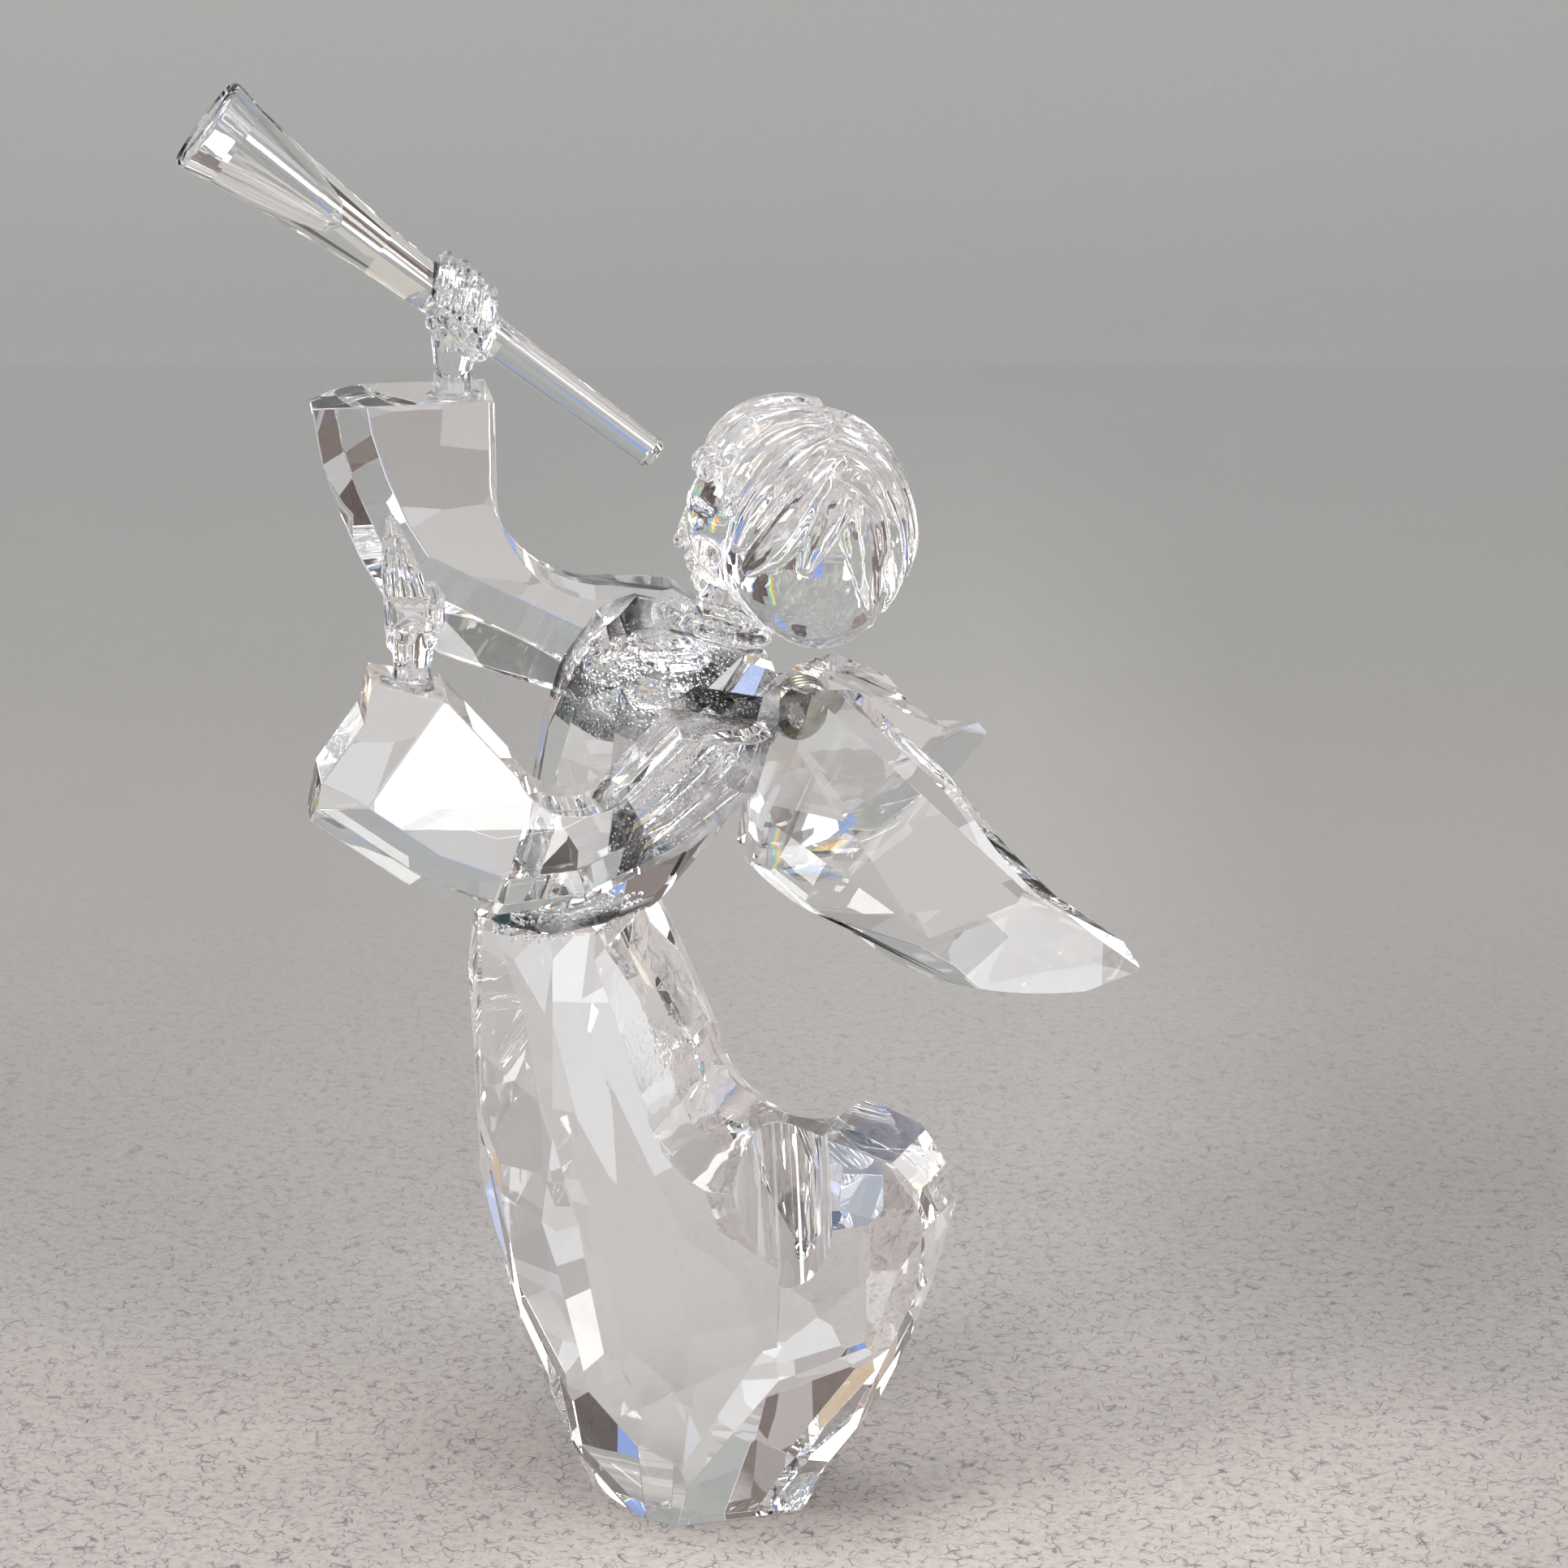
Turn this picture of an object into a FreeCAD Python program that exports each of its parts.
import FreeCAD, Part
import math
import os

from FreeCAD import Vector

# Cut-crystal figurine of an angel blowing a raised trumpet.
# World frame: origin at the centre of the base's resting face, +Z up, -Y the display front.
# The angel faces -X.  Two local frames share its Z axis: the gown's and the upper body's.
# In both, x points to the angel's back, y to its right-hand side, and y = 0 is a plane of symmetry.

FILM = 0.15                 # thickness of the cured clear adhesive in a joint
UP = Vector(0, 0, 1)
ACROSS = Vector(0, 1, 0)
GOWN_FRAME = FreeCAD.Placement(Vector(0.0, -2.0, 0.0), FreeCAD.Rotation(UP, -22.0))
BODY_FRAME = FreeCAD.Placement(Vector(0.0, 0.7, -0.4), FreeCAD.Rotation(UP, 9.0))
STOCK = 400.0               # side of a block larger than any piece

SHOULDER_SEAT = 6.5         # distance from the symmetry plane to the flat shoulder seats
SLEEVE_THICK = 8.0
GOWN_HALF = 12.0            # half width of the gown blank before faceting
TORSO_HALF = 8.0            # half width of the torso blank before faceting

WAIST_AT = Vector(-10.9, 0.0, 50.5)         # in the upper body frame, like all that follow
WAIST_TILT = 15.5           # degrees that the waist joint rises towards the angel's back
NECK_AT = Vector(1.7, 0.0, 72.9)
NECK_TILT = -18.0

TRUMPET_MOUTH = Vector(-2.2, 4.6, 86.3)
TRUMPET_BELL = Vector(-36.4, 7.5, 113.2)
BELL_DEPTH = 12.0
LIP_RADIUS = 0.35

MOUNT_AT = Vector(8.7, 0.0, 66.6)
MOUNT_RADIUS = 2.35
MOUNT_HALF = 1.5            # half length of the steel spool, which lies along y
GROOVE_DEPTH = 0.35
BACK_SEAT = 6.25            # x of the flat on the torso's back

WING_THICK = 2.6
WING_HALF_ANGLE = 52.0      # degrees between a wing and the symmetry plane
WING_DROP = 18.6            # degrees that the leading edge falls towards the tip
WING_LEAN = 14.0            # degrees that a wing leans back along the spine
WING_ROOT = Vector(9.3, -3.4, 66.2)


def direction(azimuth, tilt):
    """Unit vector at an azimuth about Z and a tilt up from horizontal, in degrees."""
    turn = math.radians(azimuth)
    rise = math.radians(tilt)
    return Vector(math.cos(turn) * math.cos(rise), math.sin(turn) * math.cos(rise), math.sin(rise))


def upright(rise):
    """Normal of a plane that rises by an angle in degrees towards +x."""
    return direction(180.0, 90.0 - rise)


def placed(shape, frame):
    """Copy of a shape, moved out of a local frame."""
    copy = shape.copy()
    copy.Placement = frame.multiply(copy.Placement)
    return copy


def half_space(point, normal):
    """Block that fills the outer side of a plane."""
    block = Part.makeBox(STOCK, STOCK, STOCK, Vector(-STOCK / 2, -STOCK / 2, 0))
    block.Placement = FreeCAD.Placement(point, FreeCAD.Rotation(UP, normal))
    return block


def grind(shape, point, normal):
    """Grind a flat facet: everything beyond the plane goes."""
    return shape.cut(half_space(point, normal))


def mirrored(vector):
    """The same point or direction on the other side of the symmetry plane."""
    return Vector(vector.x, -vector.y, vector.z)


def grind_facets(shape, facets, sides=(1, -1)):
    """Grind facets given as (azimuth, tilt, point), on the -y side and mirrored on the +y side."""
    for azimuth, tilt, point in facets:
        for side in sides:
            normal = direction(azimuth, tilt)
            at = Vector(*point)
            if side < 0:
                normal = mirrored(normal)
                at = mirrored(at)
            shape = grind(shape, at, normal)
    return shape


def outline_wire(outline, plane_point):
    """Closed wire through an outline.  A corner is (a, b); an arc is ((mid), (end))."""
    edges = []
    last = outline[-1] if not isinstance(outline[-1][0], tuple) else outline[-1][1]
    for step in outline:
        start = plane_point(*last)
        if isinstance(step[0], tuple):
            middle, last = step
            edges.append(Part.Arc(start, plane_point(*middle), plane_point(*last)).toShape())
        else:
            last = step
            edges.append(Part.makeLine(start, plane_point(*last)))
    return Part.Wire(edges)


def slab(outline, low, high):
    """Solid between y = low and y = high with an outline of (x, z) points."""
    wire = outline_wire(outline, lambda x, z: Vector(x, low, z))
    return Part.Face(wire).extrude(Vector(0, high - low, 0))


def bevel_plane(start, end, face, inset, angle):
    """Point and outward normal of a bevel along one straight edge of a slab's outline.

    start and end are (x, z) corners, in the order that keeps the slab on the left of the
    edge.  face is the y of the ground face, inset how far in the bevel begins there, and
    angle its slope off that face in degrees.
    """
    along = Vector(end[0] - start[0], 0, end[1] - start[1]).normalize()
    outward = Vector(along.z, 0, -along.x)
    side = 1 if face > 0 else -1
    slope = math.radians(angle)
    point = Vector(start[0], face, start[1]) - outward * inset
    return point, outward * math.sin(slope) + Vector(0, side * math.cos(slope), 0)


def spheroid(centre, radius, half_height):
    """Egg-like ball, taller than wide, made by turning half an ellipse about Z."""
    ellipse = Part.Ellipse(Vector(0, 0, half_height), Vector(radius, 0, 0), Vector(0, 0, 0))
    right_side = Part.makeBox(STOCK, STOCK, STOCK, Vector(0, -STOCK / 2, -STOCK / 2))
    half = Part.Face(Part.Wire([ellipse.toShape()])).common(right_side)
    ball = half.revolve(Vector(0, 0, 0), UP, 360)
    ball.translate(centre)
    return ball.Solids[0]


def limb(start, start_radius, end, end_radius):
    """Rounded rod between two points, tapered or straight."""
    axis = end - start
    if start_radius == end_radius:
        rod = Part.makeCylinder(start_radius, axis.Length, start, axis)
    else:
        rod = Part.makeCone(start_radius, end_radius, axis.Length, start, axis)
    return rod.fuse([Part.makeSphere(start_radius, start), Part.makeSphere(end_radius, end)])


def turned(profile, at, axis):
    """Solid of revolution: profile of (radius, distance) steps, turned about axis from a point."""
    wire = outline_wire(profile, lambda radius, distance: Vector(radius, 0, distance))
    solid = Part.Face(wire).revolve(Vector(0, 0, 0), UP, 360)
    solid.Placement = FreeCAD.Placement(at, FreeCAD.Rotation(UP, axis))
    return solid


def single(shape):
    """Largest solid of a result."""
    return max(shape.Solids, key=lambda solid: solid.Volume)


def glue_flat(upper, lower, point, normal):
    """Cut two blanks flat on both sides of a plane.  Returns both pieces and the film between."""
    gap_top = point + normal * (FILM / 2)
    gap_low = point - normal * (FILM / 2)
    both = upper.common(lower)
    film = grind(grind(both, gap_top, normal), gap_low, normal * -1)
    return grind(upper, gap_top, normal * -1), grind(lower, gap_low, normal), film


# ---------------------------------------------------------------- gown

GOWN_OUTLINE = [
    (-10.5, 0.0), (9.3, 0.0), (10.8, 3.6), (14.7, 9.1), (17.3, 15.4), (19.7, 21.5), (21.0, 28.0),
    (20.3, 31.0), (18.3, 33.3), (14.8, 34.4), (11.6, 35.2), (6.0, 38.0), (2.0, 44.0),
    (-4.0, 54.0), (-19.0, 53.0), (-19.3, 48.0), (-20.4, 40.0), (-20.6, 33.3), (-19.6, 27.0),
    (-18.0, 22.0), (-15.0, 14.6), (-12.2, 6.4)]

# concave slide from the waist down to the train, as seen along its middle ridge; from the
# ridge it falls away to both sides, by SLIDE_FALL for each mm across
SLIDE_RIDGE = [
    (12.4, 35.0), ((4.3, 36.1), (1.1, 41.4)), (-3.3, 51.6), (-3.6, 60.0), (24.0, 60.0), (24.0, 48.0)]
SLIDE_FALL = Vector(-0.25, 1.0, -0.42)

# The front is one long clear panel.  The far side leans differently and is cut into large
# shallow facets that show faintly through it.  Each facet is (azimuth, tilt, a point on it).
GOWN_FRONT_PANEL = (-94.0, 2.5, (-5.0, -8.8, 24.0))
GOWN_FAR_FACETS = [
    (94.0, 9.0, (-5.0, 8.8, 24.0)),
    (85.0, 13.0, (1.0, 9.6, 20.0)),
    (103.0, 4.0, (-9.5, 7.6, 30.0)),
    (91.0, 2.0, (-4.0, 9.7, 14.0)),
    (97.0, 15.0, (-9.0, 6.0, 40.0)),
    (82.0, 6.0, (4.5, 9.1, 26.0))]
GOWN_FACETS = [
    (-109.0, 4.0, (-11.2, -7.7, 42.0)),        # front column of kites
    (-104.0, -1.0, (-6.9, -8.6, 31.0)),
    (-121.0, 2.0, (-9.6, -7.8, 31.0)),
    (-108.0, -5.0, (-6.0, -8.8, 21.0)),
    (-122.0, -8.0, (-8.0, -8.0, 19.0)),
    (-116.0, -16.0, (-4.4, -8.8, 11.5)),
    (-128.0, 8.0, (-13.8, -6.2, 42.5)),
    (-146.0, 7.0, (-17.7, -3.5, 43.0)),        # edge column of kites
    (-136.0, 2.0, (-15.4, -5.2, 34.5)),
    (-150.0, -2.0, (-17.4, -3.4, 28.5)),
    (-138.0, -9.0, (-14.0, -5.2, 22.5)),
    (-130.0, -14.0, (-10.4, -6.5, 15.5)),
    (-152.0, -23.0, (-12.0, -3.4, 9.0)),
    (-95.0, -19.0, (0.0, -9.5, 8.6)),          # low tier round the base
    (-124.0, -26.0, (-5.8, -7.2, 5.5)),
    (-76.0, -26.0, (7.5, -8.7, 6.2)),
    (-40.0, -30.0, (11.0, -4.0, 5.2)),
    (-88.0, -7.0, (9.9, -10.1, 18.2)),         # kites below the slide
    (-74.0, -15.0, (9.9, -10.1, 18.4)),
    (-70.0, -6.0, (9.9, -10.1, 18.6)),
    (-58.0, -13.0, (15.0, -8.6, 23.5)),
    (-52.0, -27.0, (11.6, -8.2, 15.2)),
    (-44.0, -12.0, (18.6, -5.1, 21.0)),
    (-34.0, -24.0, (17.4, -3.9, 15.0)),
    (-22.0, -16.0, (20.0, -2.2, 22.4))]
SLIDE_SIDE_FACET = (-75.0, 10.2, (9.9, -10.1, 18.4))
TRAIN_FROM = 11.0                              # x where the train's own facets begin
TRAIN_FACETS = [
    (-70.0, 1.0, (14.1, -8.5, 29.0)),
    (-42.0, 2.0, (20.1, -4.6, 28.0)),
    (-76.0, 33.0, (14.6, -5.0, 33.7)),
    (-36.0, 30.0, (20.2, -3.2, 31.2))]

# wheel-cut hollow on each side of the slide, where it runs out below the train
SCOOP_RADIUS = 3.9
SCOOP_AXIS = Vector(0.30, -0.62, -0.75)
SCOOP_AT = Vector(10.6, -8.0, 31.6)
SCOOP_REACH = 30.0


def gown_blank():
    body = grind_facets(slab(GOWN_OUTLINE, -GOWN_HALF, GOWN_HALF), GOWN_FACETS)
    body = grind_facets(body, [GOWN_FRONT_PANEL] + GOWN_FAR_FACETS, sides=(1,))
    slide = Part.Face(outline_wire(SLIDE_RIDGE, lambda x, z: Vector(x, 0, z)))
    for fall in (SLIDE_FALL, mirrored(SLIDE_FALL)):
        body = body.cut(slide.extrude(fall * GOWN_HALF))
    split = Vector(TRAIN_FROM, 0, 0)
    train = grind_facets(grind(body, split, Vector(-1, 0, 0)), TRAIN_FACETS)
    skirt = grind_facets(grind(body, split, Vector(1, 0, 0)), [SLIDE_SIDE_FACET])
    body = skirt.fuse(train).removeSplitter()
    for axis, at in ((SCOOP_AXIS, SCOOP_AT), (mirrored(SCOOP_AXIS), mirrored(SCOOP_AT))):
        unit = Vector(axis).normalize()
        wheel = Part.makeCylinder(SCOOP_RADIUS, SCOOP_REACH, at - unit * (SCOOP_REACH / 2), unit)
        body = body.cut(wheel)
    return placed(single(body), BODY_FRAME.inverse().multiply(GOWN_FRAME))


# ---------------------------------------------------------------- torso

TORSO_OUTLINE = [
    (-17.8, 46.5), (-3.6, 47.5), (-4.2, 52.4), (1.4, 57.0), (6.25, 64.2), (6.25, 69.2),
    (5.6, 71.6), (-2.2, 74.1), (-2.9, 75.9), (-4.6, 76.4), (-7.2, 74.7), (-9.8, 71.2),
    (-11.7, 66.5), (-12.6, 61.5), (-15.6, 54.0)]

TORSO_FACETS = [
    (-128.0, 4.0, (-9.0, -5.4, 63.0)),
    (-150.0, 10.0, (-11.0, -3.2, 66.0)),
    (-140.0, 30.0, (-8.2, -4.2, 71.5)),
    (-110.0, 44.0, (-4.6, -4.6, 73.6)),
    (-75.0, 50.0, (1.5, -5.2, 71.3)),
    (-104.0, -10.0, (-9.5, -5.9, 56.5)),
    (-76.0, -14.0, (-2.0, -6.1, 58.0)),
    (-140.0, 12.0, (-15.2, -3.4, 53.5)),
    (-40.0, -12.0, (4.6, -4.4, 63.5)),
    (-38.0, -26.0, (-1.0, -4.6, 56.2))]


def torso_blank():
    body = slab(TORSO_OUTLINE, -TORSO_HALF, TORSO_HALF)
    return single(grind_facets(body, TORSO_FACETS))


# ---------------------------------------------------------------- sleeves

LEFT_SLEEVE = [
    (4.0, 74.2), (0.4, 71.4), ((-1.6, 70.2), (-3.6, 68.4)), (-7.4, 64.6),
    ((-11.2, 63.3), (-15.4, 66.6)), (-22.0, 74.4), (-25.8, 75.2), (-26.9, 70.9),
    (-30.2, 66.4), (-31.0, 62.6), (-23.6, 57.0), (-16.8, 54.2), (-9.9, 54.9), (-1.7, 58.8),
    (3.4, 63.1), (4.9, 68.3), (5.3, 71.5)]
LEFT_CUFF = LEFT_SLEEVE[7:10]                      # corners along the elbow's outer edge
LEFT_KEEL = LEFT_SLEEVE[9:] + LEFT_SLEEVE[:1]      # corners along the lower edge

RIGHT_SLEEVE = [
    (4.2, 67.0), (3.6, 71.0), (0.0, 73.7), (-5.2, 74.1), ((-12.2, 77.0), (-14.6, 84.0)),
    (-14.6, 91.5),
    (-29.0, 91.5), (-28.2, 86.2), (-27.0, 82.2), (-25.2, 77.8), (-22.6, 73.4), (-19.4, 70.4),
    (-15.0, 68.6), (-9.6, 66.6), (-4.0, 63.6), (0.5, 63.0)]
RIGHT_KEEL = RIGHT_SLEEVE[6:] + RIGHT_SLEEVE[:1]
SEAT_OVERLAP = 1.0          # how far a sleeve's blank runs into the torso before the seat is ground


def grind_bevels(shape, corners, face, inset, angle):
    """Bevel every edge of a run of outline corners, at one face of the slab."""
    for start, end in zip(corners, corners[1:]):
        point, normal = bevel_plane(start, end, face, inset, angle)
        shape = grind(shape, point, normal)
    return shape


def left_sleeve_blank():
    near = -(SHOULDER_SEAT + FILM / 2 + SLEEVE_THICK)
    body = slab(LEFT_SLEEVE, near, SEAT_OVERLAP - SHOULDER_SEAT)
    body = grind_bevels(body, LEFT_CUFF, near, inset=3.6, angle=24.0)
    body = grind_bevels(body, LEFT_KEEL, near, inset=4.2, angle=32.0)
    body = grind_bevels(body, LEFT_KEEL, near + 1.9, inset=1.5, angle=58.0)
    return single(body)


def right_sleeve_blank():
    far = SHOULDER_SEAT + FILM / 2 + SLEEVE_THICK
    body = slab(RIGHT_SLEEVE, SHOULDER_SEAT - SEAT_OVERLAP, far)
    body = grind_bevels(body, RIGHT_KEEL, far, inset=4.4, angle=33.0)
    body = grind_bevels(body, RIGHT_KEEL, far - 2.1, inset=1.6, angle=58.0)
    return single(body)


# ---------------------------------------------------------------- trumpet

# radius at each distance from the mouth end, and the hollow of the bell
TRUMPET_RADII = [(15.0, 1.5), (27.0, 2.03), (33.5, 2.6), (38.0, 3.1), (40.6, 3.4)]
MOUTH_RADIUS = 1.25
BELL_RADIUS = 3.9
BELL_BORE = 3.2
BORE_ROOT = 0.9


def trumpet_profile(length, growth):
    """Half section as (radius, distance) steps.  A growth above 0 swells it and leaves out the bore."""
    mouth = MOUTH_RADIUS + growth
    bell = BELL_RADIUS + growth
    lip = LIP_RADIUS
    steps = [(0.0, -growth), (0.5 * mouth, -growth), ((0.93 * mouth, 0.2 * mouth), (mouth, 0.6 * mouth))]
    steps += [(radius + growth, distance) for distance, radius in TRUMPET_RADII]
    steps += [(bell, length - 2 * lip), ((bell - 0.3 * lip, length - 0.6 * lip), (bell - lip, length))]
    if growth > 0:
        return steps + [(0.0, length)]
    return steps + [(BELL_BORE, length - lip), (BORE_ROOT, length - BELL_DEPTH),
                    (0.0, length - BELL_DEPTH - BORE_ROOT)]


def trumpet(growth=0.0):
    axis = TRUMPET_BELL - TRUMPET_MOUTH
    return turned(trumpet_profile(axis.Length, growth), TRUMPET_MOUTH, axis)


# ---------------------------------------------------------------- hands

LEFT_WRIST = Vector(-23.7, -11.0, 73.5)        # at the middle of the cuff
LEFT_SEAT_RISE = -11.6                         # degrees that the left cuff rises towards +x
RIGHT_WRIST = Vector(-17.6, 9.8, 90.7)
WRIST_RADIUS = 1.75
WRIST_DEPTH = Vector(0, 0, -1.0)               # how far a hand's blank runs down into its cuff
GRIP_DISTANCE = 18.6                           # from the trumpet's mouth end to the middle of the grip

# the open left hand: its palm above the wrist, each finger's place across the palm, its length
# and its radius, and the thumb's root and tip from the palm
PALM_RISE = Vector(0.3, 0.0, 4.6)
PALM_RADIUS = 2.15
LEFT_FINGERS = [(-1.35, 6.6, 0.62), (-0.5, 8.3, 0.66), (0.4, 7.8, 0.66), (1.2, 6.2, 0.6)]
FINGER_ROOT = Vector(-0.1, 0.2, 0.4)
FINGER_TIP = Vector(-1.0, -0.3, 0.0)
FINGER_CLOSING = 0.45                          # how much of their spacing the fingertips keep
FINGER_TAPER = 0.22
LEFT_THUMB = (Vector(1.2, -0.6, -0.8), 0.85, Vector(2.2, -1.0, 2.4), 0.62)

# the right fist: its palm and heel, then the joints of each finger, all from the middle of the grip
FIST_PALM = (Vector(-0.6, 0.6, -1.2), 2.7)
FIST_HEEL = (Vector(0.4, 1.6, 1.2), 2.3)
FIST_FINGERS = [-1.9, -0.6, 0.7, 1.9]          # places along the trumpet
FIST_KNUCKLE = (Vector(0, 1.4, 2.4), 0.85)
FIST_JOINT = (Vector(-0.2, -0.6, 2.9), 0.8)
FIST_TIP = (Vector(-0.6, -2.1, 1.0), 0.7)
FIST_THUMB_ROOT = (Vector(-0.6, -0.8, -1.2), 0.9)
FIST_THUMB_TIP = (Vector(0, -2.3, -1.2), 0.75)
FIST_THUMB_REACH = 1.5                         # how far the thumb lies along the trumpet


def left_hand_blank():
    """Open hand, fingers together and pointing up."""
    palm = LEFT_WRIST + PALM_RISE
    fingers = []
    for across, length, radius in LEFT_FINGERS:
        root = palm + FINGER_ROOT + Vector(across, 0, 0)
        tip = palm + FINGER_TIP + Vector(across * FINGER_CLOSING, 0, length)
        fingers.append(limb(root, radius + FINGER_TAPER, tip, radius))
    root, root_radius, tip, tip_radius = LEFT_THUMB
    thumb = limb(palm + root, root_radius, palm + tip, tip_radius)
    return limb(LEFT_WRIST + WRIST_DEPTH, WRIST_RADIUS, palm, PALM_RADIUS).fuse(fingers + [thumb])


def right_hand_blank(grip, along):
    """Fist closed round the trumpet at grip, with the wrist below it."""
    def chain(at, *joints):
        ends = [(at + place, radius) for place, radius in joints]
        return [limb(*start, *end) for start, end in zip(ends, ends[1:])]

    palm = grip + FIST_PALM[0]
    wrist = limb(RIGHT_WRIST + WRIST_DEPTH, WRIST_RADIUS + 0.3, palm, FIST_PALM[1])
    pieces = chain(grip, FIST_PALM, FIST_HEEL)
    for step in FIST_FINGERS:
        pieces += chain(grip + along * step, FIST_KNUCKLE, FIST_JOINT, FIST_TIP)
    tip, tip_radius = FIST_THUMB_TIP
    pieces += chain(grip, FIST_THUMB_ROOT, (tip + along * FIST_THUMB_REACH, tip_radius))
    return wrist.fuse(pieces)


# ---------------------------------------------------------------- head

HAIR_AT = Vector(8.3, 1.0, 81.0)
HAIR_RADIUS = 8.9
HAIR_HALF = 9.8
FACE_AT = Vector(3.1, 1.2, 81.6)
FACE_RADIUS = 4.4
FACE_HALF = 6.4
BUN_AT = Vector(9.3, 1.2, 87.4)
BUN_RADIUS = 2.3
BUN_HEIGHT = 4.0
NECK_RADII = (3.2, 2.8)     # at the foot and under the jaw
NECK_LENGTH = 7.0
COLLAR_RADIUS = 3.7
COLLAR_FLARE = 0.6
COLLAR_HEIGHT = 1.3
NECK_FILM_RADIUS = 3.3


def head_piece():
    """Head, swept-back hair and collar, cast as one piece."""
    neck_up = upright(NECK_TILT)
    foot = NECK_AT + neck_up * FILM
    hair = spheroid(HAIR_AT, HAIR_RADIUS, HAIR_HALF)
    face = spheroid(FACE_AT, FACE_RADIUS, FACE_HALF)
    bun = Part.makeCylinder(BUN_RADIUS, BUN_HEIGHT, BUN_AT)
    neck = Part.makeCone(*NECK_RADII, NECK_LENGTH, foot, neck_up)
    collar = Part.makeCone(COLLAR_RADIUS, COLLAR_RADIUS + COLLAR_FLARE, COLLAR_HEIGHT, foot, neck_up)
    return single(hair.fuse([face, bun, neck, collar]))


# ---------------------------------------------------------------- wings and their mount

WING_OUTLINE = [
    (-7.5, 0.4), (-1.3, 2.0), ((4.6, 4.9), (10.6, 4.0)), ((17.5, 1.2), (25.6, -0.5)), (34.6, 0.2),
    (35.3, -1.3), (34.2, -3.1), ((28.4, -7.3), (21.4, -10.7)), ((15.8, -12.2), (10.0, -12.0)),
    ((4.6, -13.2), (-1.6, -12.4)), (-7.5, -11.0)]

# turn across the wing, turn along it, and the outline point where each shallow facet starts
WING_FACETS = [
    (9.0, 0.0, (12.0, -8.5)),
    (0.0, -6.0, (24.0, -4.0)),
    (6.0, -7.0, (20.0, -6.5)),
    (10.0, 6.0, (2.0, -9.0)),
    (-22.0, 0.0, (12.0, 2.4)),                 # along the leading edge
    (-20.0, -8.0, (28.0, -1.6)),
    (-30.0, -4.0, (20.0, -0.2)),
    (24.0, -5.0, (24.0, -8.0)),                # along the trailing edge
    (26.0, 2.0, (8.0, -11.4))]
WING_BACK_FACETS = [
    (-3.0, 0.0, (12.0, -3.0)),
    (5.0, 2.0, (8.0, -6.0)),
    (4.0, -3.0, (18.0, -6.0))]


def wing_axes():
    """Unit vectors of the left wing: along its leading edge, up across it, and out of its face."""
    half = math.radians(WING_HALF_ANGLE)
    drop = math.radians(WING_DROP)
    lean = math.radians(WING_LEAN)
    along = Vector(math.cos(half) * math.cos(drop), -math.sin(half) * math.cos(drop), -math.sin(drop))
    level = Vector(-math.sin(half), -math.cos(half), 0)
    upward = level.cross(along)
    up = upward * math.cos(lean) - level * math.sin(lean)
    return along, up, level * math.cos(lean) + upward * math.sin(lean)


def wing_blank():
    """Left wing before its root is cut."""
    along, up, out = wing_axes()
    near = WING_ROOT - out * (WING_THICK / 2)
    wire = outline_wire(WING_OUTLINE, lambda reach, height: near + along * reach + up * height)
    plate = Part.Face(wire).extrude(out * WING_THICK)
    for face, facets in ((out, WING_FACETS), (out * -1, WING_FACETS + WING_BACK_FACETS)):
        for turn_up, turn_along, (reach, height) in facets:
            slope = up * math.tan(math.radians(turn_up)) + along * math.tan(math.radians(turn_along))
            point = WING_ROOT + along * reach + up * height + face * (WING_THICK / 2)
            plate = grind(plate, point, (face - slope).normalize())
    return single(plate)


RIM = 0.2                   # chamfer at each end of the spool
GROOVE_PLACES = [-0.8, 0.0, 0.8]
GROOVE_TOP = 0.2            # half widths of a groove at the barrel and at its floor
GROOVE_FLOOR = 0.1
PAD_HEIGHT = 2.4            # adhesive pad between the spool and the torso's back
PAD_INSET = 0.3


def mount():
    """Steel spool with turned grooves round its barrel."""
    floor = MOUNT_RADIUS - GROOVE_DEPTH
    steps = [(0.0, -MOUNT_HALF), (MOUNT_RADIUS - RIM, -MOUNT_HALF), (MOUNT_RADIUS, RIM - MOUNT_HALF)]
    for middle in GROOVE_PLACES:
        steps += [(MOUNT_RADIUS, middle - GROOVE_TOP), (floor, middle - GROOVE_FLOOR),
                  (floor, middle + GROOVE_FLOOR), (MOUNT_RADIUS, middle + GROOVE_TOP)]
    steps += [(MOUNT_RADIUS, MOUNT_HALF - RIM), (MOUNT_RADIUS - RIM, MOUNT_HALF), (0.0, MOUNT_HALF)]
    return turned(steps, MOUNT_AT, ACROSS)


def mount_pad():
    """Adhesive between the spool's barrel and the flat on the torso's back."""
    corner = Vector(BACK_SEAT, PAD_INSET - MOUNT_HALF, MOUNT_AT.z - PAD_HEIGHT / 2)
    pad = Part.makeBox(MOUNT_AT.x - BACK_SEAT, 2 * (MOUNT_HALF - PAD_INSET), PAD_HEIGHT, corner)
    barrel = Part.makeCylinder(MOUNT_RADIUS, 4 * MOUNT_HALF, MOUNT_AT - ACROSS * 2 * MOUNT_HALF, ACROSS)
    return single(pad.cut(barrel))


def neck_film():
    """Round film between the collar and the torso's slanting top."""
    return Part.makeCylinder(NECK_FILM_RADIUS, FILM, NECK_AT, upright(NECK_TILT))


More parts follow.
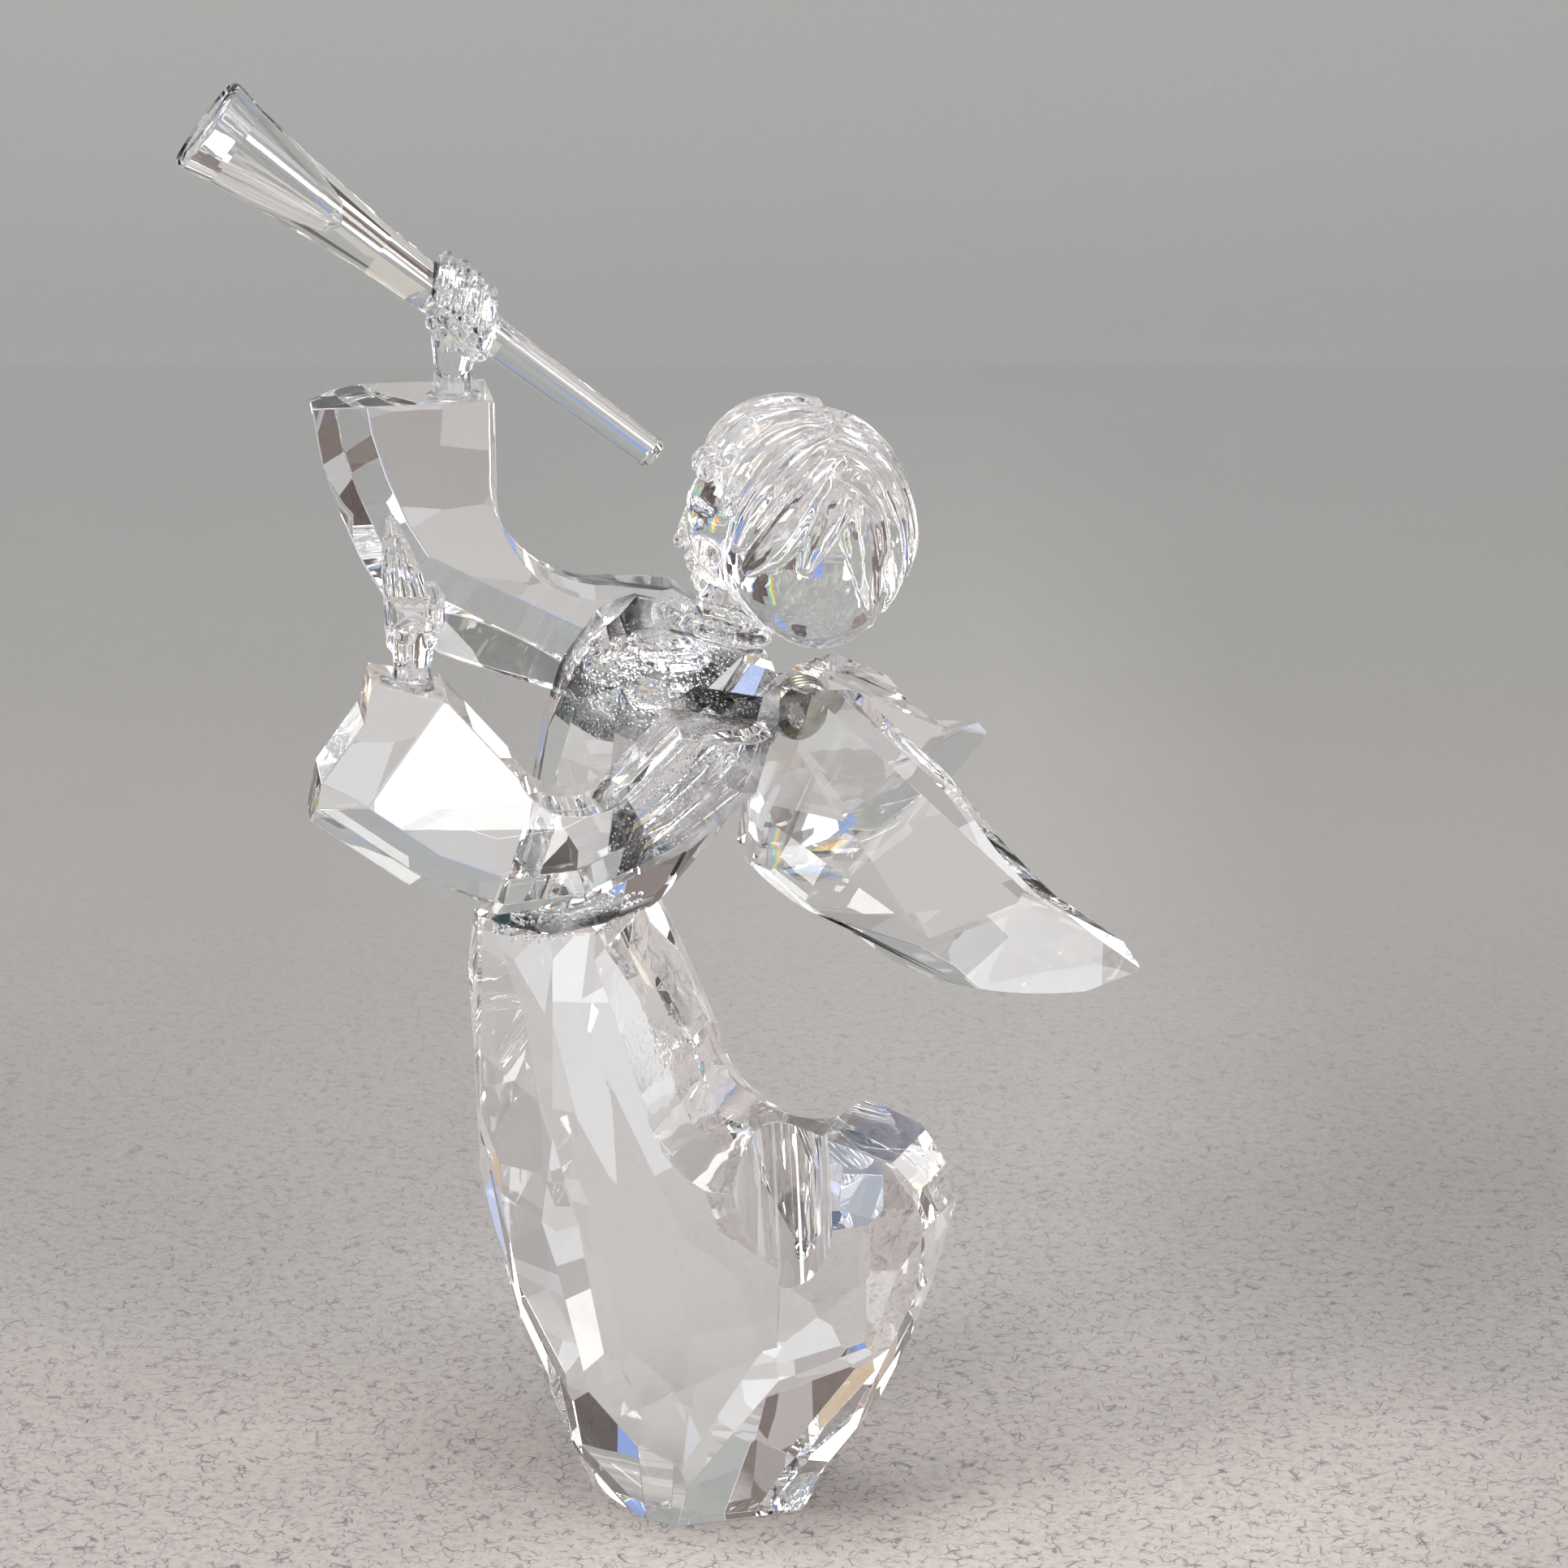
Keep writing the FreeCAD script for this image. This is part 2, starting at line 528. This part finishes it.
def hands_and_trumpet(pieces):
    """Both hands on their cuffs, and the trumpet glued into the right fist."""
    lean = upright(LEFT_SEAT_RISE)
    hand, sleeve, film = glue_flat(left_hand_blank(), pieces["left_sleeve"], LEFT_WRIST, lean)
    pieces["left_hand"] = hand
    pieces["left_sleeve"] = sleeve
    pieces["left_wrist_bond"] = film
    horn = trumpet()
    along = (TRUMPET_BELL - TRUMPET_MOUTH).normalize()
    grip = TRUMPET_MOUTH + along * GRIP_DISTANCE
    blank = right_hand_blank(grip, along)
    hand, sleeve, film = glue_flat(blank, pieces["right_sleeve"], RIGHT_WRIST, UP)
    sheath = trumpet(FILM)
    pieces["trumpet"] = horn
    pieces["right_hand"] = single(hand.cut(sheath))
    pieces["trumpet_bond"] = single(sheath.common(hand).cut(horn))
    pieces["right_sleeve"] = sleeve
    pieces["right_wrist_bond"] = film


def wings(pieces):
    """Two mirrored wings, glued to the ends of a steel spool on the torso's back."""
    pieces["wing_mount"] = mount()
    pieces["mount_bond"] = mount_pad()
    root_cut = ACROSS * -(MOUNT_HALF + FILM)
    blank = wing_blank()
    wing = single(grind(blank, root_cut, ACROSS))
    end = Part.makeCylinder(MOUNT_RADIUS - RIM, FILM, MOUNT_AT + root_cut, ACROSS)
    film = single(blank.common(end))
    for name, shape in (("wing", wing), ("wing_bond", film)):
        pieces["left_" + name] = shape
        pieces["right_" + name] = shape.mirror(Vector(0, 0, 0), ACROSS)


def save(name, shape):
    solids = shape.Solids
    assert solids and all(solid.isValid() and solid.Volume > 0 for solid in solids), name
    shape.exportStep("parts/" + name + ".step")
    box = shape.BoundBox
    print(f"{name:22s} solids {len(solids)} vol {shape.Volume:9.2f}  x {box.XMin:6.1f} {box.XMax:6.1f}"
          f"  y {box.YMin:6.1f} {box.YMax:6.1f}  z {box.ZMin:6.1f} {box.ZMax:6.1f}")


def glued_body():
    """Gown, torso, head and sleeves, ground flat and glued together."""
    pieces = {}
    torso, pieces["gown"], pieces["waist_bond"] = glue_flat(
        torso_blank(), gown_blank(), WAIST_AT, upright(WAIST_TILT))
    seat = ACROSS * (SHOULDER_SEAT + FILM / 2)
    torso, pieces["left_sleeve"], pieces["left_shoulder_bond"] = glue_flat(
        torso, left_sleeve_blank(), seat * -1, ACROSS)
    pieces["right_sleeve"], torso, pieces["right_shoulder_bond"] = glue_flat(
        right_sleeve_blank(), torso, seat, ACROSS)
    pieces["torso"] = torso
    pieces["head"] = head_piece()
    pieces["neck_bond"] = neck_film()
    return pieces


def main():
    os.makedirs("parts", exist_ok=True)
    pieces = glued_body()
    hands_and_trumpet(pieces)
    wings(pieces)
    for name in sorted(pieces):
        save(name, placed(single(pieces[name]), BODY_FRAME))


main()
